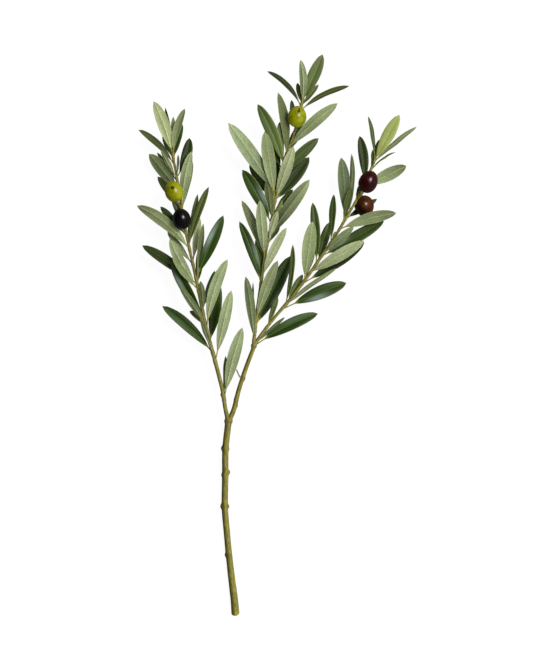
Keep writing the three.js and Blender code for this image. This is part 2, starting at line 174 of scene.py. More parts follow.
# Limbs as rows of sheet x, y, height and diameter, and knots as sheet x, y, height and radii
# across, along and upward. They are close to the part's own.
stem = {
    "trunk": [
        (235.3, 616.3, 3.6, 8.0), (234.2, 600, 3.4, 7.6), (230.6, 571, 3.0, 6.8), (227.3, 539, 3.2, 6.4),
        (224.8, 507, 4.2, 6.5), (225.2, 475, 6.0, 6.5), (225.4, 450, 8.2, 6.5), (228.4, 421.5, 11.5, 6.7),
    ],
    "limb": [
        (228.4, 421.5, 11.5, 5.6), (233.6, 410, 12.2, 4.9), (238.8, 390, 13, 4.6), (245.2, 370, 13.8, 4.4),
        (252.6, 350.4, 14.6, 4.2), (253.8, 347, 14.9, 4.0),
    ],
    "knots": [
        (228.4, 421.2, 11.4, 4.4, 3.8, 3.7), (222.5, 448.5, 8.2, 2.0, 2.8, 1.7),
        (228.6, 449.5, 8.2, 1.1, 1.8, 1.3), (228.6, 472.5, 6.2, 2.0, 2.8, 1.7),
        (222.3, 475, 6.2, 1.5, 2.0, 1.6), (221.9, 506.5, 4.4, 2.1, 3.0, 1.8),
        (228.4, 506.5, 4.4, 1.5, 2.0, 1.5), (229.4, 555, 5.8, 1.8, 2.4, 1.4),
        (225.3, 555.5, 3.4, 1.3, 1.8, 1.3), (234.6, 399, 12.7, 1.1, 1.8, 1.2),
        (237.1, 406, 12.5, 1.3, 1.6, 1.2), (242.9, 378.5, 13.5, 2.8, 2.6, 2.6),
    ],
    "limbEnd": 348,        # sheet y where the limb's wood ends, in the right twig's knot
    "leftEnd": 410,        # and where the stem's wood ends in the foot of the left twig
    "sides": 32,
    "step": 0.8,           # mm of sheet y from one ring of points to the next
    "ripple": 0.014,       # how far the bark swells and sinks, as a share of the radius
    "slant": 0.7,          # the saw cut leans back under the trunk by this much of the height
    "slantLength": 12,     # mm of the trunk over which the lean fades
}
# A twig's wood starts at this sheet y, inside the wood that it grows from.
twigs = {
    "left": {
        "limb": [
            (228.4, 421.5, 11.5, 4.8), (225.2, 408, 12.9, 4.2), (222.4, 390, 14.5, 4.1),
            (214.8, 360, 16.5, 4.1), (206.6, 330, 18, 3.8), (200.4, 300, 19, 3.5), (194.2, 270, 20, 3.1),
            (187.6, 240, 21, 2.8), (182, 210, 21.5, 2.6), (177.2, 180, 21.5, 2.4), (172.3, 152, 21, 2.3),
        ],
        "start": 411.5,
        "knots": [(220.9, 395, 14.2, 1.1, 1.8, 1.2), (224.9, 393.8, 14.2, 1.0, 1.5, 1.2)],
    },
    "middle": {
        "limb": [
            (253.5, 346, 15, 4.0), (255, 330, 16.5, 3.5), (257.2, 310, 18, 3.2), (261.5, 280, 20, 3.1),
            (266.2, 250, 21.5, 3.0), (271.7, 220, 22.5, 3.0), (277, 190, 23, 2.9), (284.2, 160, 23.5, 2.6),
            (293, 137, 23.5, 2.3), (299.8, 112, 23, 2.6), (303.6, 96, 22.5, 2.8),
        ],
        "start": 346,
        "knots": [],
    },
    "right": {
        "limb": [
            (252.7, 350, 14.6, 4.2), (254.4, 345, 15, 3.8), (262.5, 333, 15.8, 3.4), (275, 317, 16.8, 3.2),
            (290, 299.5, 18, 3.3), (306, 278.5, 19.5, 3.2), (320, 258.5, 20.5, 3.0), (334, 238, 21.5, 2.8),
            (346, 218, 22.5, 2.7), (357, 199, 23, 2.6), (367.5, 178, 23, 2.8), (375.8, 156, 22.5, 2.7),
        ],
        "start": 350,
        "knots": [(253.9, 345.8, 14.9, 3.1, 3.2, 2.8)],
    },
}
twigWood = {
    "sides": 20,
    "step": 0.7,
    "ripple": 0.02,
    "collarHeight": 0.3,   # mm that the twig swells where a leaf stands
    "collarLength": 1.3,   # mm along the twig over which the swelling fades
}
# What all the wood's skin shares. A ripple is its turns round the limb, mm along it and weight.
woodSkin = {
    "ripples": ((1, 37, 1), (2, 19, 0.8), (3, 8.3, 0.6), (5, 3.9, 0.5), (4, 2.1, 0.3)),
    "wander": 0.8,              # radians that the ripples stray to the side as they run along
    "scarEdge": (-0.15, 0.35),  # mm that a knot stands out where its scar begins and where it is full
    "jointLength": 1.6,         # mm along the twig over which the brown of a leaf's joint fades
    "averagings": 2,
}


def limbPath(rows, shares):
    # Uniform Catmull-Rom: between knots b and c a cubic with end slopes (c-a)/2 and (d-b)/2.
    # The diameter changes evenly between rows. Returns the points, the tangents and the radii.
    rows = np.asarray(rows, float)
    knots = fromSheet(rows[:, :3])
    padded = np.vstack([2 * knots[0] - knots[1], knots, 2 * knots[-1] - knots[-2]])
    place = np.clip(shares, 0, 1) * (len(knots) - 1)
    i = np.minimum(place.astype(int), len(knots) - 2)
    t = (place - i)[:, None]
    a, b, c, d = (padded[i + k] for k in range(4))
    slopeB = (c - a) / 2
    slopeC = (d - b) / 2
    points = (b * (2 * t**3 - 3 * t**2 + 1) + slopeB * (t**3 - 2 * t**2 + t)
              + c * (3 * t**2 - 2 * t**3) + slopeC * (t**3 - t**2))
    tangents = (b * (6 * t**2 - 6 * t) + slopeB * (3 * t**2 - 4 * t + 1)
                + c * (6 * t - 6 * t**2) + slopeC * (3 * t**2 - 2 * t))
    radii = np.interp(place, np.arange(len(knots)), rows[:, 3]) / 2
    return points, unit(tangents), radii


def shareAtRow(rows, sheetY):
    # Where on a limb, from 0 to 1, its axis passes a sheet y: even shares from row to row.
    rowY = np.array([row[1] for row in rows])
    return np.interp(-np.asarray(sheetY, float), -rowY, np.linspace(0, 1, len(rows)))


def knotReach(centres, directions, knot):
    # How far a knot reaches from the axis in each direction: the far root of
    # |(centre + reach * direction - middle) / radii| = 1, or 0 where the ray misses it.
    radii = np.array(knot[3:])
    start = ((centres - fromSheet(knot[:3])) / radii)[:, None]
    ray = directions / radii
    a = (ray**2).sum(-1)
    b = (start * ray).sum(-1)
    c = (start**2).sum(-1) - 1
    inside = b**2 - a * c
    return np.where(inside > 0, (np.sqrt(np.maximum(inside, 0)) - b) / a, 0)


def makeTube(points, tangents, radii, style, seed, knots=(), collars=()):
    # A skin round a path: radius = radii (1 + ripple * smooth noise) + collars, pushed out to each knot,
    # then averaged with its neighbours. barkPlace is the place on the bark in mm: two across, one along.
    # barkMarks holds how much of a scar and of a leaf's joint is there, from 0 to 1, and the cosine of
    # the angle round the limb, which is 1 on the flank that gets painted shade.
    angles = 2 * np.pi * (np.arange(style["sides"]) + 0.5) / style["sides"]
    side, up = framesOf(tangents)
    directions = side[:, None] * -np.cos(angles)[:, None] + up[:, None] * np.sin(angles)[:, None]
    lengths = lengthsAlong(points)[:, None]
    random = np.random.default_rng(seed)
    noise = np.zeros((len(points), len(angles)))
    for turns, wave, weight in woodSkin["ripples"]:
        phase = random.uniform(0, 2 * np.pi, 2)
        around = turns * angles + phase[0] + woodSkin["wander"] * np.sin(lengths / (2 * wave))
        noise += weight * np.sin(around) * np.sin(2 * np.pi * lengths / wave + phase[1])
    reach = radii[:, None] * (1 + style["ripple"] * noise)
    for collar in collars:
        reach = reach + style["collarHeight"] * np.exp(-((lengths - collar) / style["collarLength"]) ** 2)
    scar = np.zeros_like(reach)
    for knot in knots:
        out = knotReach(points, directions, knot)
        scar = np.maximum(scar, smoothStep(*woodSkin["scarEdge"], out - reach))
        reach = np.maximum(reach, out)
    for _ in range(woodSkin["averagings"]):
        reach = (2 * reach + np.roll(reach, 1, 1) + np.roll(reach, -1, 1)) / 4
        reach[1:-1] = (2 * reach[1:-1] + reach[:-2] + reach[2:]) / 4
    joint = np.zeros_like(lengths)
    for collar in collars:
        joint = joint + np.exp(-((lengths - collar) / woodSkin["jointLength"]) ** 2)
    width = radii.mean()
    place = np.broadcast_arrays(width * np.cos(angles), width * np.sin(angles), lengths)
    marks = np.broadcast_arrays(scar, np.clip(joint, 0, 1), np.cos(angles))
    return {
        "grid": points[:, None] + directions * reach[..., None],
        "values": {"barkPlace": np.stack(place, -1), "barkMarks": np.stack(marks, -1)},
    }


def makeLimb(rows, fromY, toY, style, seed, knots=(), leafFeet=()):
    # The wood of a limb between two sheet y values, in even steps along its path, with a collar at
    # the sheet y of each leaf's foot.
    first, last = shareAtRow(rows, [fromY, toY])
    shares = np.linspace(first, last, int(abs(fromY - toY) / style["step"]))
    points, tangents, radii = limbPath(rows, shares)
    collars = np.interp(shareAtRow(rows, list(leafFeet)), shares, lengthsAlong(points))
    return makeTube(points, tangents, radii, style, seed, knots, collars)


# A side shoot that has died back: places on the sheet, and radii in mm.
driedStalk = {
    "places": [(242.5, 379, 13.6), (239.6, 377.6, 14.6), (238, 373.5, 15.4), (236.5, 369.6, 16)],
    "radii": (0.9, 0.75, 0.65, 0.7),
    "stations": 26,
    "sides": 12,
    "ripple": 0.04,
}


def makeDriedStalk(seed):
    # A thin bare stalk on the Bezier curve of its four places: in each round every point goes t of the
    # way to the next, until one is left. Its radii are spread evenly along it.
    t = np.linspace(0, 1, driedStalk["stations"])[:, None]
    points = fromSheet(driedStalk["places"])[:, None]
    while len(points) > 1:
        points = points[:-1] * (1 - t) + points[1:] * t
    tangents = unit(np.gradient(points[0], axis=0))
    radii = np.interp(t[:, 0], np.linspace(0, 1, len(driedStalk["radii"])), driedStalk["radii"])
    return makeTube(points[0], tangents, radii, driedStalk, seed)


# Bark and cut wood

# Olive bark, young and unsplit: a satin skin over green wood, streaked along its length, with
# small pale pores and rust-brown scars where leaves and side shoots have been. Sizes are in mm.
barks = {
    "stemBark": {
        "light": "#958F40", "body": "#6E6920", "dark": "#383206", "scar": "#6E5030", "pore": "#8E874E",
        "patch": "#75603A", "shade": "#2E2E08", "shadeShare": 0.7,
        "streakWidth": 0.55, "streakLength": 6.0, "poreSpacing": 2.6,
    },
    "twigBark": {
        "light": "#948D42", "body": "#726C2D", "dark": "#3E3A0F", "scar": "#6A5230", "pore": "#989054",
        "patch": "#776F3A", "shade": "#3A380C", "shadeShare": 0.45,
        "streakWidth": 0.4, "streakLength": 4.0, "poreSpacing": 2.2,
    },
}
# Both barks: where on its pattern or mark each coat of colour begins and is full, and how much it covers.
barkCoats = {
    "patch": (0.52, 0.72, 0.55),
    "pore": (0.16, 0.08, 0.5),
    "joint": (0, 1, 0.4),
    "shade": (-0.1, 0.85),     # how much it covers is in each bark's shadeShare
    "scar": (0, 1, 0.6),
    "patchesPerMm": 0.07,      # a patch is about 14 mm long
    "ramp": ((0.3, "dark"), (0.74, "light")),     # places on the streaks' noise
    "bodyAt": 0.5,
    "poreDepth": 0.35,         # how much of the relief is pores, and the rest is streaks
    "relief": 0.25,            # mm
}
cutWood = {
    "light": "#D8C796", "dark": "#9C8350",
    "grainsPerMm": 0.9,
    "relief": 0.2,             # mm
}


def makeBark(name):
    # Colour = streaks along the limb, and over them patches, pores, leaf joints, the painted shade of one
    # flank and scars in turn, each as under + (over - under) * share.
    look = barks[name]
    material = newMaterial(name)
    place = addNode(material, "Attribute", {"attribute_name": "barkPlace"})
    marks = addNode(material, "Attribute", {"attribute_name": "barkMarks"})
    mark = addNode(material, "SeparateXYZ", links={"Vector": (marks, "Vector")})
    squeeze = look["streakWidth"] / look["streakLength"]
    stretched = addNode(material, "Mapping", {"Scale": (1, 1, squeeze)}, {"Vector": (place, "Vector")})
    streaks = addNode(material, "TexNoise", {"Scale": 1 / look["streakWidth"], "Detail": 4, "Roughness": 0.6},
                      {"Vector": (stretched, "Vector")})
    patches = addNode(material, "TexNoise",
                      {"Scale": barkCoats["patchesPerMm"], "Detail": 3, "Roughness": 0.55},
                      {"Vector": (place, "Vector")})
    pores = addNode(material, "TexVoronoi", {"Scale": 1 / look["poreSpacing"], "Randomness": 1.0},
                    {"Vector": (place, "Vector")})
    colour = addNode(material, "ValToRGB", links={"Fac": (streaks, "Fac")})
    for element, (position, shade) in zip(colour.color_ramp.elements, barkCoats["ramp"]):
        element.position = position
        element.color = linear(look[shade])
    colour.color_ramp.elements.new(barkCoats["bodyAt"]).color = linear(look["body"])
    # Leaf joints are browner, and one flank, on the left as the limb runs on, is painted darker as shade.
    coats = [
        (patches, "Fac", barkCoats["patch"], "patch"),
        (pores, "Distance", barkCoats["pore"], "pore"),
        (mark, "Y", barkCoats["joint"], "patch"),
        (mark, "Z", (*barkCoats["shade"], look["shadeShare"]), "shade"),
        (mark, "X", barkCoats["scar"], "scar"),
    ]
    under = (colour, "Color")
    for source, output, (begins, isFull, covers), shade in coats:
        share = addNode(material, "MapRange", {"From Min": begins, "From Max": isFull, "To Max": covers},
                        {"Value": (source, output)})
        colour = addNode(material, "Mix", {"data_type": "RGBA", "B": linear(look[shade])},
                         {"Factor": (share, "Result"), "A": under})
        under = (colour, "Result")
    height = addNode(material, "MixRGB", {"Fac": barkCoats["poreDepth"]},
                     {"Color1": (streaks, "Fac"), "Color2": (pores, "Distance")})
    bump = addNode(material, "Bump", {"Strength": 0.45, "Distance": barkCoats["relief"] / mmPerMetre},
                   {"Height": (height, "Color")})
    return finishMaterial(material, {"Roughness": 0.5, "IOR": 1.45, "Specular IOR Level": 0.3},
                          {"Base Color": under, "Normal": (bump, "Normal")})


def makeCutWood():
    # The sawn end: pale, dry and close-grained. Olive wood's pores are about a tenth of a millimetre,
    # drawn ten times as coarse so that they show.
    material = newMaterial("sawnOliveWood")
    place = addNode(material, "TexCoord")
    grain = addNode(material, "TexNoise", {"Scale": cutWood["grainsPerMm"] * mmPerMetre, "Detail": 3},
                    {"Vector": (place, "Object")})
    colour = addNode(material, "ValToRGB", links={"Fac": (grain, "Fac")})
    colour.color_ramp.elements[0].color = linear(cutWood["dark"])
    colour.color_ramp.elements[1].color = linear(cutWood["light"])
    bump = addNode(material, "Bump", {"Strength": 0.5, "Distance": cutWood["relief"] / mmPerMetre},
                   {"Height": (grain, "Fac")})
    return finishMaterial(material, {"Roughness": 0.75},
                          {"Base Color": (colour, "Color"), "Normal": (bump, "Normal")})


# Leaves

# Rows of: sheet y of the foot on the twig, x and y of the tip, blade width, turn about the midrib in
# degrees, rise of the tip, sideways bow, stalk length, and the tone that shows. They are close to the
# part's own.
leftLeaves = [
    (399, 242.5, 327.5, 12.6, 8, 14, 1.5, 12, "paleBright"),
    (396, 225.5, 356, 6.5, -40, -6, -0.5, 6, "dark"),
    (362, 231.5, 290.5, 11.5, 5, 13, 0.5, 12, "paleBright"),
    (353, 162, 306, 11.6, -15, -4, -2.6, 7, "darkTwoTone"),
    (353, 200, 318, 8, 55, 6, 0, 6, "greyLight"),
    (343, 219, 283, 12, 0, -16, 0, 6, "deep"),
    (331, 227.8, 259.5, 11.5, 5, 14, 4.5, 12, "paleBright"),
    (329, 189.5, 311, 6, -15, -3, -2, 6, "midDull"),
    (326, 179.5, 286.5, 7.5, 20, 8, -1, 5, "grey"),
    (321, 171, 262, 11.5, 15, 4, 0, 6, "darkSheenLeft"),
    (314, 200.3, 281, 7, 30, 6, -1, 6, "grey"),
    (310, 214.8, 270.5, 8.5, -35, -9, 0, 6, "dark"),
    (291, 172.5, 257.5, 8, -40, 14, 0, 7, "grey"),
    (286, 170, 239, 10.5, 15, 8, 2.5, 6, "paleBright"),
    (286, 201, 245, 8, 10, -15, 0, 6, "deep"),
    (284, 142, 245.5, 11.5, -15, -2, -1.5, 6, "darker"),
    (284, 203.5, 223.5, 8, -45, 5, 0, 6, "greyDark"),
    (278, 223.5, 215.5, 12.5, -15, 8, 0, 6, "darkSheenLeft"),
    (265, 167.5, 231, 8, -30, -3, 0, 6, "greyLight"),
    (263, 200, 218, 8.5, -35, -6, 0, 6, "paleGrey"),
    (250, 137, 206, 12, 10, 8, -5, 6, "paleTwoTone"),
    (249, 189, 222, 6, 60, 3, 0, 6, "grey"),
    (246, 209, 187, 9.5, 35, 4, 1.5, 6, "midDull"),
    (246, 197.7, 194, 6, 15, -4, 0, 6, "midDull"),
    (236, 160.3, 206.5, 8, -20, -5, 0, 6, "darker"),
    (228, 172, 198, 7, 30, -8, 0, 6, "greyLight"),
    (212, 183, 172, 7, 40, -7, 0, 6, "dark"),
    (211, 192.8, 162, 8, 30, 2, 1, 6, "paleGrey"),
    (210, 191.7, 151.5, 10.4, 15, 6, 2.3, 4, "paleBright"),
    (206, 157.3, 176, 8.5, 5, -21.6, 0, 6, "mid"),
    (192, 149, 154, 14, 25, -6, -0.5, 6, "grey"),
    (182, 157, 152.5, 7, -45, -9, 0, 6, "dark"),
    (179, 161, 150.5, 7, 45, 2, 0, 6, "paleGrey"),
    (178, 189.5, 138, 10.6, 0, -3, -2.5, 6, "darker"),
    (179, 178.3, 155, 6, 65, 4, 0, 6, "greyLight"),
    (166, 138.5, 129.8, 7.5, -25, -4, -3.5, 6, "darkDull"),
    (160, 162.5, 135.5, 5.5, -20, -12, 0, 6, "dark"),
    (160, 182.5, 124, 7, 10, -15, 1, 6, "deep"),
    (158, 185.3, 109.2, 8, -15, 9, 3.2, 8, "greyTwoTone"),
    (157, 165.5, 107.5, 6, 40, -2, 0, 6, "dark"),
    (155, 154, 102, 12.4, 12, 10, -1.5, 6, "paleWarm"),
    (153, 173.5, 117, 5, 15, 6, 0, 6, "greyLight"),
]
middleLeaves = [
    (340, 245.7, 276.5, 9.6, 15, 5, -1, 5, "grey"),
    (331, 253, 282.5, 5, 65, 2, 0, 6, "dark"),
    (326, 290.7, 255.5, 15, 0, -16.9, 0, 6, "deepest"),
    (320, 278, 260.5, 10.4, 0, 11, 1.8, 6, "pale"),
    (284, 239.3, 221.5, 9.8, 10, 2, -2.4, 6, "darkSheenRight"),
    (284, 257, 236, 9, -10, -2, -0.8, 4, "dark"),
    (283, 264, 256, 5, 60, 3, 0, 6, "grey"),
    (278, 286.5, 228, 9, -5, 9, 1.5, 6, "paleGrey"),
    (263, 268, 231, 6, 40, -7, 0, 6, "dark"),
    (260, 241.7, 200.5, 10, -25, -3, -2.5, 6, "grey"),
    (259, 259.7, 200.5, 11.2, 10, 12, 0, 6, "paleBright"),
    (245, 280, 226, 5, 30, -8, 0, 6, "dark"),
    (241, 277.5, 211.5, 7.5, 10, 10, 0, 4, "paleGrey"),
    (238, 309.5, 180, 13.2, 5, 10, 0.6, 5, "paleHalfDark"),
    (226, 282.3, 200.5, 5, 15, 3, 0, 6, "midWarm"),
    (224, 242.3, 170, 13, 10, 1, -2, 6, "darkSheenRight"),
    (219, 267, 179, 9, 15, 3, 0, 3, "greyDark"),
    (214, 293, 189.5, 7, 20, -4, 0, 6, "dark"),
    (202, 277, 160, 9, 10, -7, 0, 3, "deep"),
    (201, 249.5, 163, 11, -5, -20, 0, 6, "dark"),
    (201, 293.5, 147, 11.5, 10, 12, 0, 6, "paleGrey"),
    (201, 309.3, 157, 13.4, 2, -7, -0.3, 4, "darker"),
    (200, 264.7, 132, 13, -8, 12, 0, 9, "pale"),
    (193, 228.3, 123.5, 15, 5, 8, -0.8, 6, "paleShaded"),
    (178, 318.7, 138.5, 11.5, -15, 0, 1.5, 6, "dark"),
    (170, 272, 146.5, 7.5, -20, -9, 0, 5, "dark"),
    (164, 257.5, 104.5, 12.4, 10, 1, -2.3, 3, "midPlain"),
    (161, 280.5, 121.5, 8, -5, 2, 2, 3, "greyTwoTone"),
    (155, 278, 93, 10, -20, 4, -3.2, 3, "greyDark"),
    (153, 302.5, 123.5, 9.5, 5, -6, 0, 3, "dark"),
    (148, 337.5, 104, 12, 10, 9, 1.9, 5, "greyLight"),
    (130, 291.5, 100, 6, 20, -8, 0, 6, "dark"),
    (112, 349.5, 86.3, 7, -35, -2, 4.7, 7, "darkDull"),
    (108, 267, 71.5, 6.5, -30, -3, -5, 6, "darker"),
    (107, 318.5, 85, 5.5, 25, 3, 0, 3, "midDull"),
    (105, 297.3, 83, 5.5, 20, -4, 0, 3, "dark"),
    (103, 300.5, 60.5, 8.5, 25, 9, -1.8, 2, "paleBright"),
    (100, 322.5, 55, 12.6, -10, 5, -0.4, 2, "midDull"),
]
rightLeaves = [
    (346, 318, 313.5, 12.4, 10, 0, 2.8, 13, "darkTwoTone"),
    (344, 285, 317, 6, 45, -6, 0.5, 6, "grey"),
    (327, 278, 297, 7, 35, 8, 0, 6, "mid"),
    (309.5, 346.5, 283, 14, 10, 0, 1.2, 15, "darkSheenRight"),
    (307, 337, 268, 7.5, 50, 6, 2, 6, "greyLight"),
    (305, 292.8, 244.5, 8, 45, 8, -2.5, 6, "midDull"),
    (303, 303, 274.5, 7, 15, -3, 0.5, 5, "midDull"),
    (284, 364.5, 242.5, 12, 5, -2, -1, 11, "deepest"),
    (281, 312.5, 221.5, 13.5, -5, 10, 0, 6, "pale"),
    (272.5, 364, 241, 12, 5, 12, 0, 4, "paleGrey"),
    (279, 315, 242, 7, 20, -9, 0, 6, "dark"),
    (264, 312.5, 202.5, 9.5, 10, 1, -1.5, 6, "dark"),
    (262, 329.5, 222, 9.5, 5, -18, 0, 6, "dark"),
    (256, 384, 221, 12.5, 10, 1, -0.5, 6, "darkSheenBase"),
    (254, 353.5, 227, 8.5, -15, 8, 0, 5, "grey"),
    (244, 335.5, 231.5, 2.5, 0, 3, 0, 6, "mid"),
    (243, 333.8, 194.5, 8, 30, 5, 0, 6, "dark"),
    (229.5, 396, 213.5, 12, 5, 13, 2.2, 7, "paleTwoTone"),
    (224, 350.7, 187, 8, -30, 7, 0, 6, "darkDull"),
    (220, 341, 157.7, 12.5, 10, 2, -1.5, 6, "greyBlue"),
    (219, 377.5, 198.5, 7, 5, -22.5, 0, 6, "darker"),
    (213, 351.3, 154, 8, 50, 2, -1.5, 6, "pale"),
    (203, 360, 185, 5, 45, 2, 0, 6, "dark"),
    (187, 406.3, 166, 13, -5, -1, 0, 6, "paleTwoTone"),
    (185, 359.5, 136, 10, 0, -3, -2, 6, "darker"),
    (173, 372.5, 150, 5, 40, 3, -1.5, 6, "dark"),
    (172, 395.5, 152.5, 5, 68, 1, 2.5, 6, "midWarm"),
    (163, 416.5, 127, 8, 50, 3, 1.8, 5, "greyLight"),
    (162, 399, 115.5, 12.5, 8, 9, 0, 6, "midYellow"),
    (160, 380, 139.5, 6, 20, -5, 0, 4, "dark"),
    (160, 368, 116.5, 5.6, -40, 0, -1.5, 6, "dark"),
]

# What shows of a leaf: its under or upper face, that face's colour, its midrib's colour, and how light
# its left and right halves are, which is painted light and shade.
leafTones = {
    "pale": ("under", "#6F7A56", "#98985F", 1.15, 0.85),
    "paleBright": ("under", "#828E68", "#A8A770", 1.1, 0.9),
    "paleShaded": ("under", "#7E8B67", "#A8A770", 1.1, 0.9),
    "paleWarm": ("under", "#9AA476", "#B4B477", 1.15, 0.85),
    "paleTwoTone": ("under", "#727D57", "#96975D", 1, 1),
    "paleGrey": ("under", "#848D69", "#A4A26C", 1.1, 0.9),
    "paleHalfDark": ("under", "#5C6446", "#7C8350", 0.9, 1.1),
    "greyLight": ("under", "#747E59", "#949860", 1.1, 0.9),
    "grey": ("under", "#5F6A47", "#80855A", 1.05, 0.95),
    "greyTwoTone": ("under", "#5E6646", "#83875B", 1.35, 0.65),
    "greyBlue": ("under", "#5A6648", "#7A845A", 1.2, 0.8),
    "greyDark": ("under", "#515A37", "#6C7345", 1.1, 0.9),
    "mid": ("upper", "#58643A", "#7C8548", 0.95, 1.05),
    "midWarm": ("upper", "#5C6632", "#7C7F45", 0.5, 1.5),
    "midYellow": ("upper", "#8C9755", "#A0A45C", 0.9, 1.1),
    "midPlain": ("upper", "#4A592C", "#66743A", 0.95, 1.05),
    "midDull": ("upper", "#4C5830", "#6C753C", 1.1, 0.9),
    "dark": ("upper", "#37451F", "#566630", 1.05, 0.95),
    "darker": ("upper", "#253010", "#3F4E1F", 0.95, 1.05),
    "darkDull": ("upper", "#38411F", "#575F2C", 1.1, 0.9),
    "darkTwoTone": ("upper", "#263A0E", "#4A5E22", 1.2, 0.8),
    "darkSheenLeft": ("upper", "#22350A", "#465A20", 1, 1),
    "darkSheenRight": ("upper", "#273910", "#4A5C22", 1.1, 0.9),
    "darkSheenBase": ("upper", "#28380F", "#4A5B22", 0.95, 1.05),
    # Painted shade: deep and deepest are darker than the leaf's own green, for leaves that lie under others.
    "deep": ("upper", "#25370A", "#30450D", 0.7, 1.3),
    "deepest": ("upper", "#22330A", "#2B3E10", 1.3, 0.7),
}
# Painted light and shade along a leaf: how light the foot and the tip are, where a tone runs from light to
# dark along it.
tonePaintedEnds = {
    "paleBright": (0.85, 1.1), "paleShaded": (0.5, 1.3), "paleTwoTone": (1.35, 0.5),
    "paleHalfDark": (0.15, 1.8), "greyTwoTone": (1.4, 0.7), "midPlain": (1.6, 0.7),
}
# A painted sheen, standing in for the lamp's reflection on the waxed upper face: side, place along the leaf,
# spread and strength.
tonePaintedSheens = {
    "darkTwoTone": (-1, 0.6, 0.3, 0.1), "darkSheenLeft": (-1, 0.62, 0.22, 0.45),
    "darkSheenRight": (1, 0.4, 0.18, 0.5), "darkSheenBase": (-1, 0.22, 0.16, 0.6),
}
# A leaf's form. Lengths are in mm, places along it are shares of the blade from foot to tip, and places
# across it are shares of the half-width.
leaf = {
    "stations": 44, "crowding": 0.05,  # sections along the leaf, and how much they crowd to its ends
    "across": (0, 0.035, 0.075, 0.13, 0.22, 0.36, 0.53, 0.71, 0.86, 0.95, 1),
    "rise": 0.82, "fall": 0.66,        # how fast the outline widens from the stalk and narrows to the tip
    "point": 0.07,                     # the share of the blade that runs straight to a sharp tip
    "fold": 0.17, "crown": 0.06,       # the fold along the midrib and each half's crown
    "roll": 0.3, "rollWidth": 0.12,    # how far the margins turn down toward the underside
    "wave": 0.45,                      # how far the margins wave up and down at most
    "waveRange": (0.4, 1),             # the share of it that a leaf gets by chance
    "leftWaves": 1.4, "rightWaves": 1.7,   # how many waves run along each half
    "twist": 7, "twistMiddle": 0.4,    # degrees, and the place that stays unturned
    "archUp": 0.05, "archDown": 0.12,  # how far a rising leaf bows up and a falling one hangs
    "stalkRadius": 0.62, "stalkFade": 0.7,
    "stalkToBlade": 0.12,              # the share of the blade where its section is still part stalk
    "roundPower": 2, "flatPower": 5,   # a section is round in the stalk and nearly a slab in the blade
    "thick": 0.72, "tipThick": 0.34,
    "thinFrom": 0.96, "thinning": 0.9, # where the tip thins, and how much of its thickness goes
    "ribHeight": 0.42, "ribGroove": 0.16, "ribSpread": 0.5, "ribFade": 0.6,
}
# A leaf's colours. A colour that is laid over another has its share, or the places where it runs out.
leafColour = {
    "hiddenUpper": "#2E4124", "hiddenUnder": "#6F7B54", "stalk": "#86802A", "margin": "#9CA65C",
    # The bluish white of the sheen is a painted highlight of the lamp on the waxed face.
    "tip": "#6E5630", "paintedSheen": "#8A9A8E",
    "ends": (0.95, 1.05),              # how light a plain leaf is at its foot and at its tip: painted shade toward the foot
    "halvesMeet": 0.04,                # where the left half's lightness has turned to the right's
    "byChance": (0.93, 1.07),          # how light one leaf may be beside another
    "endsByChance": 0.16,
    "ribLine": 0.46,                   # mm from the middle of the midrib to where its colour fades
    "ribShare": (0.95, 0.45),          # at the foot and at the tip
    "paintedSheenFrom": 0.35, "paintedSheenTo": 0.8,
    "marginFrom": 0.92, "marginShare": 0.7,
    "darkMargins": ("deep", "deepest"),
    "stalkTo": 0.1, "stalkShare": 0.85,
    "tipFrom": 0.975,
}


def leafColours(toneName, b, ring, isTop, distance, intoBlade, random):
    # Colour = the face's colour times how light its half and its place from foot to tip are, both painted
    # light and shade, and how light the leaf itself is. Over that come the painted sheen, midrib, margin,
    # stalk and tip, each by its share. Shares of lines are exp(-(distance / width)^2).
    face, shown, rib, leftPaintedLight, rightPaintedLight = leafTones[toneName]
    hidden = leafColour["hiddenUnder" if face == "upper" else "hiddenUpper"]
    colour = np.where(isTop[:, None], np.array(linear(shown)[:3]), np.array(linear(hidden)[:3]))
    # Painted light and shade: one half of the folded blade is made lighter than the other.
    halvesMeet = leafColour["halvesMeet"]
    halves = leftPaintedLight + (rightPaintedLight - leftPaintedLight) * smoothStep(-halvesMeet, halvesMeet, ring)
    colour = colour * np.where(isTop, halves, 1)[:, None] * random.uniform(*leafColour["byChance"])
    # Painted light and shade along the leaf, from foot to tip.
    footPaintedLight, tipPaintedLight = tonePaintedEnds.get(toneName, leafColour["ends"])
    colour = colour * (footPaintedLight + (tipPaintedLight - footPaintedLight) * b[..., None])
    colour = colour * (1 + leafColour["endsByChance"] * (b[..., None] - 0.5) * random.uniform(-1, 1))
    edge = np.abs(ring)
    # Painted sheen: a bluish-white patch standing in for the lamp's reflection on the waxed face.
    if toneName in tonePaintedSheens:
        paintedSheenSide, middle, spread, strength = tonePaintedSheens[toneName]
        share = strength * np.exp(-((b - middle) / spread) ** 2)
        share = share * smoothStep(0, leafColour["paintedSheenFrom"], ring * paintedSheenSide) * isTop
        share = share * (1 - smoothStep(leafColour["paintedSheenTo"], 1, edge))
        colour = blend(colour, leafColour["paintedSheen"], share)
    footShare, tipShare = leafColour["ribShare"]
    ribShare = np.exp(-(distance / leafColour["ribLine"]) ** 2) * (footShare + (tipShare - footShare) * b)
    colour = blend(colour, rib, ribShare * intoBlade)
    if toneName not in leafColour["darkMargins"]:
        marginShare = leafColour["marginShare"] * smoothStep(leafColour["marginFrom"], 1, edge)
        colour = blend(colour, leafColour["margin"], marginShare * intoBlade)
    stalkShare = leafColour["stalkShare"] * (1 - smoothStep(0, leafColour["stalkTo"], b))
    colour = blend(colour, leafColour["stalk"], stalkShare)
    colour = blend(colour, leafColour["tip"], smoothStep(leafColour["tipFrom"], 1, b))
    return np.concatenate([colour, np.ones((*colour.shape[:2], 1))], -1)


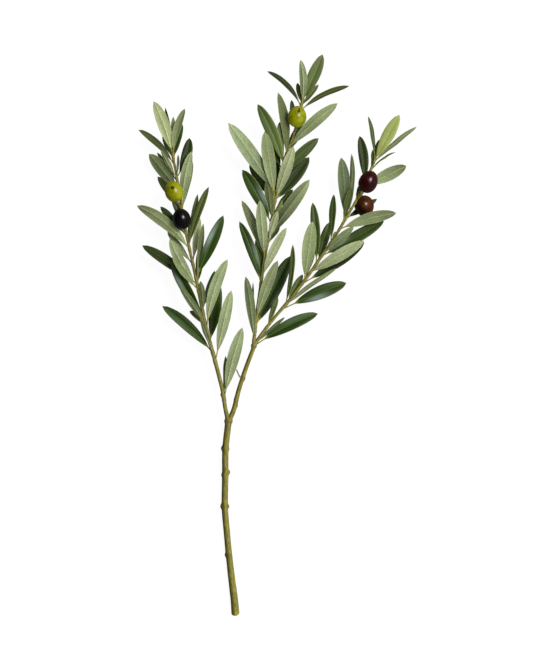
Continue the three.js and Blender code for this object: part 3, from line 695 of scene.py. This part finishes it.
def makeLeaf(limb, row, random):
    # A blade as a closed grid: s runs along the midrib and a ring of points runs round each section.
    # midrib(s) = quadratic Bezier from the twig's axis to the tip, bent sideways and up or down.
    # half-width = width / 2 * (b / w)^rise * ((1 - b) / (1 - w))^fall, b the share along the blade and
    # w where it is widest, and near the tip times ((1 - b) / point)^(1 - fall), which makes it straight.
    # Stalk and blade flow together as the cube root of the sum of their cubes.
    # lift of a point at v across = fold |v| + crown sin(pi |v|) - roll at the margin + a wave,
    # toward the upper face, with the midrib sunk in the upper face and proud of the underside.
    footY, tipX, tipY, width, turn, rise, bow, stalk, toneName = row
    foot = limbPath(limb, shareAtRow(limb, [footY]))[0][0]
    tip = fromSheet((tipX, tipY, foot[2] + rise))
    chord = tip - foot
    left = unit(np.array([-chord[1], chord[0], 0]))
    bend = (foot + tip) / 2 + 2 * bow * left
    if rise < 0:
        bend[2] = tip[2] + leaf["archDown"] * (foot[2] - tip[2])
    else:
        bend[2] += 2 * leaf["archUp"] * np.linalg.norm(chord)
    u = np.linspace(0, 1, leaf["stations"])
    s = (u - leaf["crowding"] * np.sin(2 * np.pi * u))[:, None]
    centres, tangents = quadratic(foot, bend, tip, s)
    side, up = framesOf(tangents)
    along = lengthsAlong(centres)[:, None]
    b = np.clip((along - stalk) / (along[-1] - stalk), 0, 1)
    roll = np.radians(turn + leaf["twist"] * random.uniform(-1, 1) * (b - leaf["twistMiddle"]))
    across = side * np.cos(roll) + up * np.sin(roll)
    away = up * np.cos(roll) - side * np.sin(roll)

    widest = leaf["rise"] / (leaf["rise"] + leaf["fall"])
    blade = width / 2 * (b / widest) ** leaf["rise"] * ((1 - b) / (1 - widest)) ** leaf["fall"]
    blade = blade * np.minimum((1 - b) / leaf["point"], 1) ** (1 - leaf["fall"])
    stalkHalf = leaf["stalkRadius"] * (1 - b) ** leaf["stalkFade"]
    half = (stalkHalf**3 + blade**3) ** (1 / 3)
    intoBlade = smoothStep(0, leaf["stalkToBlade"], b)
    bladeThick = leaf["thick"] + (leaf["tipThick"] - leaf["thick"]) * b
    thick = 2 * leaf["stalkRadius"] * (1 - intoBlade) + intoBlade * bladeThick
    thick = thick * (1 - leaf["thinning"] * smoothStep(leaf["thinFrom"], 1, b))

    # The ring goes from the left margin over the top to the right one, and back below.
    v = np.array(leaf["across"])
    v = np.concatenate([-v[:0:-1], v])
    ring = np.concatenate([v, v[-2:0:-1]])
    isTop = np.arange(len(ring)) < len(v)
    edge = np.abs(ring)
    distance = edge * half
    upper = 1 if leafTones[toneName][0] == "upper" else -1
    power = leaf["roundPower"] + (leaf["flatPower"] - leaf["roundPower"]) * intoBlade
    skin = thick / 2 * np.sqrt(np.maximum(1 - edge**power, 0))
    ribShape = np.exp(-(distance / leaf["ribSpread"]) ** 2) * intoBlade * (1 - b) ** leaf["ribFade"]
    skin = skin + np.where(isTop == (upper > 0), -leaf["ribGroove"], leaf["ribHeight"]) * ribShape
    phases = random.uniform(0, 2 * np.pi, 2)
    waves = leaf["wave"] * np.where(ring > 0, np.sin(2 * np.pi * leaf["rightWaves"] * b + phases[0]),
                                    np.sin(2 * np.pi * leaf["leftWaves"] * b + phases[1]))
    swell = np.sin(np.pi * b)
    rolled = leaf["roll"] * np.exp(-((1 - edge) / leaf["rollWidth"]) ** 2) * swell
    crown = leaf["crown"] * half * np.sin(np.pi * edge)
    lift = upper * intoBlade * (leaf["fold"] * distance + crown - rolled)
    lift = lift + waves * edge**2 * swell * random.uniform(*leaf["waveRange"])
    out = lift + np.where(isTop, skin, -skin)
    middle = centres[:, None] + across[:, None] * (ring * half)[..., None]
    place = np.broadcast_arrays(ring * half, along, 0.0)
    bothTop = isTop & np.roll(isTop, -1)
    return {
        "grid": middle + away[:, None] * out[..., None],
        "columns": np.where(bothTop == (upper > 0), 0, 1),
        "values": {
            "leafColour": leafColours(toneName, b, ring, isTop, distance, intoBlade, random),
            "leafPlace": np.stack(place, -1),
        },
    }


# An olive leaf's upper face is a tough waxed skin, smooth and half glossy. Its underside is felted with
# minute silvery scales, which leave it matt and mealy. The scales are about a fifth of a millimetre,
# drawn seven times as coarse so that they show. Sizes are in mm.
leafFaces = {
    "waxedLeafTop": {
        "roughness": 0.42, "gloss": 0.15, "sheen": 0.0,
        "mealSize": 1.6, "meal": 0.12, "bump": 0.25, "vein": 0.12,
    },
    "scalyLeafUnderside": {
        "roughness": 0.65, "gloss": 0.12, "sheen": 0.06,
        "mealSize": 1.4, "meal": 0.26, "bump": 0.35, "vein": 0.16,
    },
}
# Both faces, in mm. Side veins fade near the midrib, which they leave at about 35 degrees: the angle
# whose tangent is 1 / slant. Waver is how far the clouds shift them.
leafPattern = {
    "cloudSize": 14, "cloud": 0.07,
    "veinSpacing": 4.5, "veinSlant": 1.4, "veinWaver": 2.4,
    "veinWidth": 0.09,          # share of the spacing, to each side
    "veinEdge": (0.4, 1.6),     # mm from the midrib where a vein begins and is full
    "relief": 0.18,
}


def makeLeafFace(name):
    # Colour = the blade's own colour times (meal * cloud + vein). Meal and cloud are noise about 1, and
    # a vein runs where (along - slant * away + waver * cloud) / spacing is near a whole number.
    look = leafFaces[name]
    material = newMaterial(name)
    colour = addNode(material, "Attribute", {"attribute_name": "leafColour"})
    place = addNode(material, "Attribute", {"attribute_name": "leafPlace"})
    at = addNode(material, "SeparateXYZ", links={"Vector": (place, "Vector")})
    body = addNode(material, "TexCoord")
    meal = addNode(material, "TexNoise",
                   {"Scale": mmPerMetre / look["mealSize"], "Detail": 3, "Roughness": 0.65},
                   {"Vector": (body, "Object")})
    cloud = addNode(material, "TexNoise", {"Scale": mmPerMetre / leafPattern["cloudSize"], "Detail": 2},
                    {"Vector": (body, "Object")})
    away = addNode(material, "Math", {"operation": "ABSOLUTE"}, {0: (at, "X")})
    slanted = addNode(material, "Math", {"operation": "MULTIPLY_ADD", 1: -leafPattern["veinSlant"]},
                      {0: (away, "Value"), 2: (at, "Y")})
    wavering = addNode(material, "Math", {"operation": "MULTIPLY_ADD", 1: leafPattern["veinWaver"]},
                       {0: (cloud, "Fac"), 2: (slanted, "Value")})
    spaced = addNode(material, "Math", {"operation": "MULTIPLY", 1: 1 / leafPattern["veinSpacing"]},
                     {0: (wavering, "Value")})
    fromVein = addNode(material, "Math", {"operation": "PINGPONG", 1: 0.5}, {0: (spaced, "Value")})
    nearest, farther = leafPattern["veinEdge"]
    fading = addNode(material, "MapRange",
                     {"From Min": nearest, "From Max": farther, "To Max": look["vein"]},
                     {"Value": (away, "Value")})
    vein = addNode(material, "MapRange", {"From Min": leafPattern["veinWidth"], "From Max": 0.0},
                   {"Value": (fromVein, "Value"), "To Max": (fading, "Result")})
    # Nearly all of the noise lies in these ranges about a half.
    mealRange = {"To Min": 1 - look["meal"], "To Max": 1 + look["meal"]}
    mealTone = addNode(material, "MapRange", {"From Min": 0.3, "From Max": 0.7, **mealRange},
                       {"Value": (meal, "Fac")})
    cloudRange = {"To Min": 1 - leafPattern["cloud"], "To Max": 1 + leafPattern["cloud"]}
    cloudTone = addNode(material, "MapRange", {"From Min": 0.35, "From Max": 0.65, **cloudRange},
                        {"Value": (cloud, "Fac")})
    tone = addNode(material, "Math", {"operation": "MULTIPLY"},
                   {0: (mealTone, "Result"), 1: (cloudTone, "Result")})
    veined = addNode(material, "Math", {"operation": "ADD"}, {0: (tone, "Value"), 1: (vein, "Result")})
    shaded = addNode(material, "VectorMath", {"operation": "SCALE"},
                     {0: (colour, "Color"), "Scale": (veined, "Value")})
    height = addNode(material, "Math", {"operation": "ADD"}, {0: (meal, "Fac"), 1: (vein, "Result")})
    bump = addNode(material, "Bump",
                   {"Strength": look["bump"], "Distance": leafPattern["relief"] / mmPerMetre},
                   {"Height": (height, "Value")})
    finish = {
        "Roughness": look["roughness"], "IOR": 1.45, "Specular IOR Level": look["gloss"],
        "Sheen Weight": look["sheen"], "Sheen Roughness": 0.5,
    }
    return finishMaterial(material, finish, {"Base Color": (shaded, "Vector"), "Normal": (bump, "Normal")})


# Olives

# The centre, the stalk's end, the diameters across and along, and the sheet y of the stalk's foot are
# close to the part's own. Spots are blemishes, as sheet x, y and radius.
greenSkin = {"body": "#757800", "light": "#828500", "blush": "#606400", "dots": "#989A10"}
olives = {
    "green_left": {
        "centre": (174.1, 191.9, 31.8), "stalkEnd": (177.6, 201.2, 30.4), "across": 18.2, "along": 22.0,
        "twig": "left", "foot": 212, **greenSkin, "dotShare": 0.3,
        "spots": [(172.9, 188.4, 1.9)], "spotColour": "#1C0E04",
    },
    "black": {
        "centre": (181.7, 219.4, 31.9), "stalkEnd": (183.2, 228.2, 28.4), "across": 18.5, "along": 21.4,
        "twig": "left", "foot": 236,
        "body": "#080607", "light": "#0C090B", "blush": "#070405", "dots": "#120D14", "dotShare": 0.3,
    },
    "green_middle": {
        "centre": (296.9, 117.4, 33.9), "stalkEnd": (296, 127.2, 31.2), "across": 18.8, "along": 21.7,
        "twig": "middle", "foot": 132, **greenSkin, "dotShare": 0.3,
        "spots": [(298.6, 112.4, 1.7), (299.0, 110.6, 1.5), (299.6, 109.0, 1.2)], "spotColour": "#2E1404",
    },
    "purple": {
        "centre": (367.9, 182.4, 33.9), "stalkEnd": (363.4, 191.7, 31.8), "across": 18.7, "along": 23.1,
        "twig": "right", "foot": 200,
        "body": "#240406", "light": "#36080A", "blush": "#160203", "dots": "#4A2028", "dotShare": 0.3,
    },
    "brown": {
        "centre": (364.1, 206.1, 17), "stalkEnd": (361.9, 196, 18.6), "across": 19.5, "along": 21.8,
        "twig": "right", "foot": 193.5,
        "body": "#441D04", "light": "#683208", "blush": "#2A1004", "dots": "#7A4A24", "dotShare": 0.35,
        "paintedShadeSide": (-0.8, -0.6, 0), "paintedShadeColour": "#140801",
    },
}
oliveForm = {
    "rings": 64, "sides": 96,
    "point": 0.06,          # how much blunter the stalk end is than the far end
    "dimple": 1.0, "dimpleSpread": 1.9,
    "nib": 0.35, "nibSpread": 0.8,
    "lump": 0.012, "lumpShares": (1, 0.7, 0.4),
}
# Sizes, edges and relief are in mm, but the pores' edges are shares of their spacing.
oliveSkin = {
    "cloudSize": 7, "grainSize": 0.9, "poreSpacing": 1.5,
    "ramp": ((0.33, "blush"), (0.68, "light")),
    "bodyAt": 0.5,
    "poreEdge": (0.17, 0.08),
    "spotEdge": 0.7, "spotRagged": 0.8, "spotShare": 0.9,
    "paintedShadeEdge": (-6, 4), "paintedShadeShare": 0.95,
    "relief": 0.2,
}
fruitStalk = {
    "radius": 0.72,
    "gap": 0.3,             # mm between the stalk's end and the bottom of the dimple
    "cup": 0.5,             # how much wider it gets where it holds the olive
    "cupFrom": 0.85,
    "footSwell": 0.2,
    "stations": 24,
    "sides": 14,
    "ripple": 0.03,
}


def oliveLine(olive):
    # The olive's middle, the direction from stalk to far end, and the point where the stalk meets it.
    middle = fromSheet(olive["centre"])
    direction = unit(middle - fromSheet(olive["stalkEnd"]))
    return middle, direction, middle - direction * olive["along"] / 2


def makeOliveShell(olive, seed):
    # Radius from the axis = across / 2 * sin(a) * (1 + point cos(a)) * (1 + lumps), a from the stalk end;
    # place on the axis = -along / 2 * cos(a), pushed in by a dimple at the stalk and out to a nib.
    middle, direction, _ = oliveLine(olive)
    a = np.pi * np.linspace(0, 1, oliveForm["rings"] + 2)[1:-1, None]
    around = 2 * np.pi * np.arange(oliveForm["sides"]) / oliveForm["sides"]
    phases = np.random.default_rng(seed).uniform(0, 2 * np.pi, 3)
    one, two, three = oliveForm["lumpShares"]
    lumps = oliveForm["lump"] * (one * np.sin(around + phases[0])
                                 + two * np.sin(2 * around + phases[1]) * np.cos(a)
                                 + three * np.sin(3 * around + phases[2]) * np.sin(2 * a))
    radius = olive["across"] / 2 * np.sin(a)
    radius = radius * (1 + oliveForm["point"] * np.cos(a)) * (1 + lumps * np.sin(a))
    dimple = oliveForm["dimple"] * np.exp(-(radius / oliveForm["dimpleSpread"]) ** 2) * (a < np.pi / 2)
    nib = oliveForm["nib"] * np.exp(-(radius / oliveForm["nibSpread"]) ** 2) * (a > np.pi / 2)
    axial = -olive["along"] / 2 * np.cos(a) + dimple + nib
    sideways = unit(np.cross(direction, [0, 0, 1.0]))
    upward = np.cross(sideways, direction)
    outward = sideways * -np.cos(around)[:, None] + upward * np.sin(around)[:, None]
    grid = middle + direction * axial[..., None] + radius[..., None] * outward
    return {"grid": grid, "values": {}}


def makeOliveSkin(name, olive):
    # The fruit's own wax over a thin taut skin: glossy, with pinprick pores and patches of ripening.
    # The pores are about 0.2 mm, drawn at twice that so that they show. Each colour covers the ones
    # under it by its share. A spot lies on the skin over its place, at the middle's height + the root
    # of (across / 2)^2 - the distance in plan^2, and its edge is made ragged by noise.
    material = newMaterial(name)
    body = addNode(material, "TexCoord")
    clouds = addNode(material, "TexNoise",
                     {"Scale": mmPerMetre / oliveSkin["cloudSize"], "Detail": 3, "Roughness": 0.6},
                     {"Vector": (body, "Object")})
    grain = addNode(material, "TexNoise", {"Scale": mmPerMetre / oliveSkin["grainSize"], "Detail": 3},
                    {"Vector": (body, "Object")})
    ripening = addNode(material, "ValToRGB", links={"Fac": (clouds, "Fac")})
    for element, (position, shade) in zip(ripening.color_ramp.elements, oliveSkin["ramp"]):
        element.position = position
        element.color = linear(olive[shade])
    ripening.color_ramp.elements.new(oliveSkin["bodyAt"]).color = linear(olive["body"])
    pores = addNode(material, "TexVoronoi",
                    {"Scale": mmPerMetre / oliveSkin["poreSpacing"], "Randomness": 1.0},
                    {"Vector": (body, "Object")})
    begins, isFull = oliveSkin["poreEdge"]
    share = addNode(material, "MapRange",
                    {"From Min": begins, "From Max": isFull, "To Max": olive["dotShare"]},
                    {"Value": (pores, "Distance")})
    colour = addNode(material, "Mix", {"data_type": "RGBA", "B": linear(olive["dots"])},
                     {"Factor": (share, "Result"), "A": (ripening, "Color")})
    middle = fromSheet(olive["centre"])
    for spotX, spotY, radius in olive.get("spots", ()):
        spot = fromSheet((spotX, spotY, 0))
        inPlan = np.hypot(*(spot - middle)[:2])
        spot[2] = middle[2] + np.sqrt(max((olive["across"] / 2) ** 2 - inPlan**2, 0))
        near = addNode(material, "VectorMath", {"operation": "DISTANCE", 1: (spot / mmPerMetre).tolist()},
                       {0: (body, "Object")})
        ragged = addNode(material, "Math",
                         {"operation": "MULTIPLY_ADD", 1: oliveSkin["spotRagged"] / mmPerMetre},
                         {0: (grain, "Fac"), 2: (near, "Value")})
        isFull = radius / mmPerMetre
        begins = isFull + oliveSkin["spotEdge"] / mmPerMetre
        share = addNode(material, "MapRange",
                        {"From Min": begins, "From Max": isFull, "To Max": oliveSkin["spotShare"]},
                        {"Value": (ragged, "Value")})
        colour = addNode(material, "Mix", {"data_type": "RGBA", "B": linear(olive["spotColour"])},
                         {"Factor": (share, "Result"), "A": (colour, "Result")})
    if "paintedShadeSide" in olive:
        # Painted shade: a soft change of colour to dark on the side away from the light.
        toward = unit(np.array(olive["paintedShadeSide"]))
        begins, isFull = (np.array(oliveSkin["paintedShadeEdge"]) + middle @ toward) / mmPerMetre
        reach = addNode(material, "VectorMath", {"operation": "DOT_PRODUCT", 1: toward.tolist()},
                        {0: (body, "Object")})
        share = addNode(material, "MapRange",
                        {"From Min": begins, "From Max": isFull, "To Max": oliveSkin["paintedShadeShare"]},
                        {"Value": (reach, "Value")})
        colour = addNode(material, "Mix", {"data_type": "RGBA", "B": linear(olive["paintedShadeColour"])},
                         {"Factor": (share, "Result"), "A": (colour, "Result")})
    bump = addNode(material, "Bump", {"Strength": 0.12, "Distance": oliveSkin["relief"] / mmPerMetre},
                   {"Height": (grain, "Fac")})
    return finishMaterial(material, {"Roughness": 0.25, "IOR": 1.46, "Specular IOR Level": 0.4},
                          {"Base Color": (colour, "Result"), "Normal": (bump, "Normal")})


def makeFruitStalk(limb, olive, seed):
    # The stalk leaves the twig's axis and bends to meet the olive end on: a quadratic Bezier whose
    # radius = radius * (1 + cup toward the olive + swell toward the foot).
    _, direction, end = oliveLine(olive)
    foot = limbPath(limb, shareAtRow(limb, [olive["foot"]]))[0][0]
    end = end + direction * (oliveForm["dimple"] - fruitStalk["gap"])
    bend = end - direction * np.linalg.norm(end - foot) / 3
    t = np.linspace(0, 1, fruitStalk["stations"])
    path, tangents = quadratic(foot, bend, end, t[:, None])
    cup = fruitStalk["cup"] * smoothStep(fruitStalk["cupFrom"], 1, t)
    radii = fruitStalk["radius"] * (1 + cup + fruitStalk["footSwell"] * (1 - t))
    return makeTube(path, tangents, radii, fruitStalk, seed)


# The pieces

# Seeds of the random draws. Twigs, their leaves, fruit stalks and olives count on from theirs.
seeds = {
    "trunk": 1, "limb": 2, "leftLimb": 3, "driedStalk": 4,
    "twig": 10, "leaves": 20, "fruitStalk": 30, "olive": 50,
}
stemBark = makeBark("stemBark")
twigBark = makeBark("twigBark")
sawnWood = makeCutWood()
leafTop = makeLeafFace("waxedLeafTop")
leafUnder = makeLeafFace("scalyLeafUnderside")
print("materials made")

cutY = stem["trunk"][0][1]
forkY = stem["trunk"][-1][1]
trunk = makeLimb(stem["trunk"], cutY, forkY, stem, seeds["trunk"], stem["knots"])
trunk["cap"] = 1
# The sawn end leans back under the trunk: y += slant * (height of the ridge - z), fading along it.
lean = stem["slant"] * np.clip(1 - trunk["values"]["barkPlace"][..., 2] / stem["slantLength"], 0, 1)
trunk["grid"][..., 1] += lean * (trunk["grid"][0, :, 2].max() - trunk["grid"][..., 2])
makePiece("mainStem", [
    trunk,
    makeLimb(stem["limb"], forkY, stem["limbEnd"], stem, seeds["limb"], stem["knots"]),
    makeLimb(twigs["left"]["limb"], forkY, stem["leftEnd"], stem, seeds["leftLimb"], stem["knots"]),
    makeDriedStalk(seeds["driedStalk"]),
], [stemBark, sawnWood], "bark", "main_stem")

leafRows = {"left": leftLeaves, "middle": middleLeaves, "right": rightLeaves}
for number, (name, twig) in enumerate(twigs.items()):
    limb = twig["limb"]
    leafFeet = sorted({row[0] for row in leafRows[name]})
    seed = seeds["twig"] + number
    wood = [makeLimb(limb, twig["start"], limb[-1][1], twigWood, seed, twig["knots"], leafFeet)]
    for place, olive in enumerate(olives.values()):
        if olive["twig"] == name:
            wood.append(makeFruitStalk(limb, olive, seeds["fruitStalk"] + place))
    node = f"{name}_leafy_twig"
    makePiece(f"{name}TwigWood", wood, [twigBark], "bark", node)
    random = np.random.default_rng(seeds["leaves"] + number)
    leaves = [makeLeaf(limb, row, random) for row in leafRows[name]]
    makePiece(f"{name}TwigLeaves", leaves, [leafTop, leafUnder], "leaf", node)

for number, (name, olive) in enumerate(olives.items()):
    words = name.split("_")
    label = words[0] + "Olive" + "".join(word.capitalize() for word in words[1:])
    skin = makeOliveSkin(f"{label}Skin", olive)
    makePiece(label, [makeOliveShell(olive, seeds["olive"] + number)], [skin], f"{words[0]}_olive",
              f"olive_{name}")

# Floor, light and camera

# Lengths here are in metres, but the lens and the sensor are in mm, and the key light is in watts.
studio = {
    "floor": "#484847", "glow": "#FFFFFF", "glowStrength": 0.94, "bounce": 0.04,
    "floorSize": 12.0,
    "floorDrop": 0.00005,                  # the floor lies a hair under the branch
    # The walls and ceiling glow softly. Round the camera hangs a dark hood, so that nothing glossy
    # mirrors a bright ceiling. ringTop and hoodEdge are sines of the height where it begins and is full.
    # mirrored is the share of the glow that gloss shows, as through a polarising filter.
    "sky": "#FFFFFF", "skyStrength": 1.35, "hoodStrength": 0.2, "ringTop": 0.72, "hoodEdge": 0.86,
    "mirrored": 0.05, "leftShare": 0.02, "rightShare": 1.8,
    "keyPower": 60, "keySize": 0.9, "keyPlace": (1.1, 0.8, 2.3),
    "aim": (-0.01025, 0.00275, 0.015),     # the photograph's middle, in the part's frame
    "lens": 300, "sensor": 36,
    "viewLength": 0.666,                   # metres of floor along the picture's height
    "farthest": 100,
}

floorMesh = bpy.data.meshes.new("floor")
half = studio["floorSize"] / 2
corners = [(-half, -half), (half, -half), (half, half), (-half, half)]
floorMesh.from_pydata([(x, y, -studio["floorDrop"]) for x, y in corners], [], [(0, 1, 2, 3)])
floor = bpy.data.objects.new("floor", floorMesh)
bpy.context.scene.collection.objects.link(floor)
# Opal acrylic lit from beneath, as on a photographer's light table: even, white and with faint shadows.
# Little of its glow reaches the branch, whose flanks stay dark as in a cut-out photograph.
opal = newMaterial("opalLightTable")
seen = addNode(opal, "LightPath")
glow = addNode(opal, "MapRange", {"To Min": studio["bounce"], "To Max": studio["glowStrength"]},
               {"Value": (seen, "Is Camera Ray")})
finishMaterial(opal, {"Base Color": linear(studio["floor"]), "Roughness": 0.9, "Specular IOR Level": 0.2,
                      "Emission Color": linear(studio["glow"])}, {"Emission Strength": (glow, "Result")})
floorMesh.materials.append(opal)

# Strength of the sky = overhead share * share from left to right * share that gloss may mirror.
world = bpy.data.worlds.new("softWhite")
bpy.context.scene.world = world
world.use_nodes = True
direction = addNode(world, "TexCoord")
height = addNode(world, "SeparateXYZ", links={"Vector": (direction, "Generated")})
overhead = addNode(world, "MapRange", {"From Min": studio["ringTop"], "From Max": studio["hoodEdge"],
                                       "To Min": studio["skyStrength"], "To Max": studio["hoodStrength"]},
                   {"Value": (height, "Z")})
ray = addNode(world, "LightPath")
dimmed = addNode(world, "MapRange", {"To Min": 1.0, "To Max": studio["mirrored"]},
                 {"Value": (ray, "Is Glossy Ray")})
sideways = addNode(world, "MapRange",
                   {"From Min": -1, "To Min": studio["leftShare"], "To Max": studio["rightShare"]},
                   {"Value": (height, "X")})
lit = addNode(world, "Math", {"operation": "MULTIPLY"}, {0: (overhead, "Result"), 1: (sideways, "Result")})
strength = addNode(world, "Math", {"operation": "MULTIPLY"}, {0: (lit, "Value"), 1: (dimmed, "Result")})
sky = world.node_tree.nodes["Background"]
sky.inputs["Color"].default_value = linear(studio["sky"])
world.node_tree.links.new(strength.outputs["Value"], sky.inputs["Strength"])

keyLight = bpy.data.lights.new("keySoftbox", "AREA")
keyLight.energy = studio["keyPower"]
keyLight.size = studio["keySize"]
key = bpy.data.objects.new("keySoftbox", keyLight)
key.location = studio["keyPlace"]
key.rotation_euler = (Vector(studio["aim"]) - key.location).to_track_quat("-Z", "Y").to_euler()
bpy.context.scene.collection.objects.link(key)

lens = bpy.data.cameras.new("camera")
lens.lens = studio["lens"]
lens.sensor_width = studio["sensor"]
lens.clip_end = studio["farthest"]
camera = bpy.data.objects.new("camera", lens)
distance = studio["lens"] / studio["sensor"] * studio["viewLength"]
camera.location = (studio["aim"][0], studio["aim"][1], studio["aim"][2] + distance)
bpy.context.scene.collection.objects.link(camera)
bpy.context.scene.camera = camera
bpy.context.scene.view_settings.view_transform = "Standard"
print("floor, light and camera set")
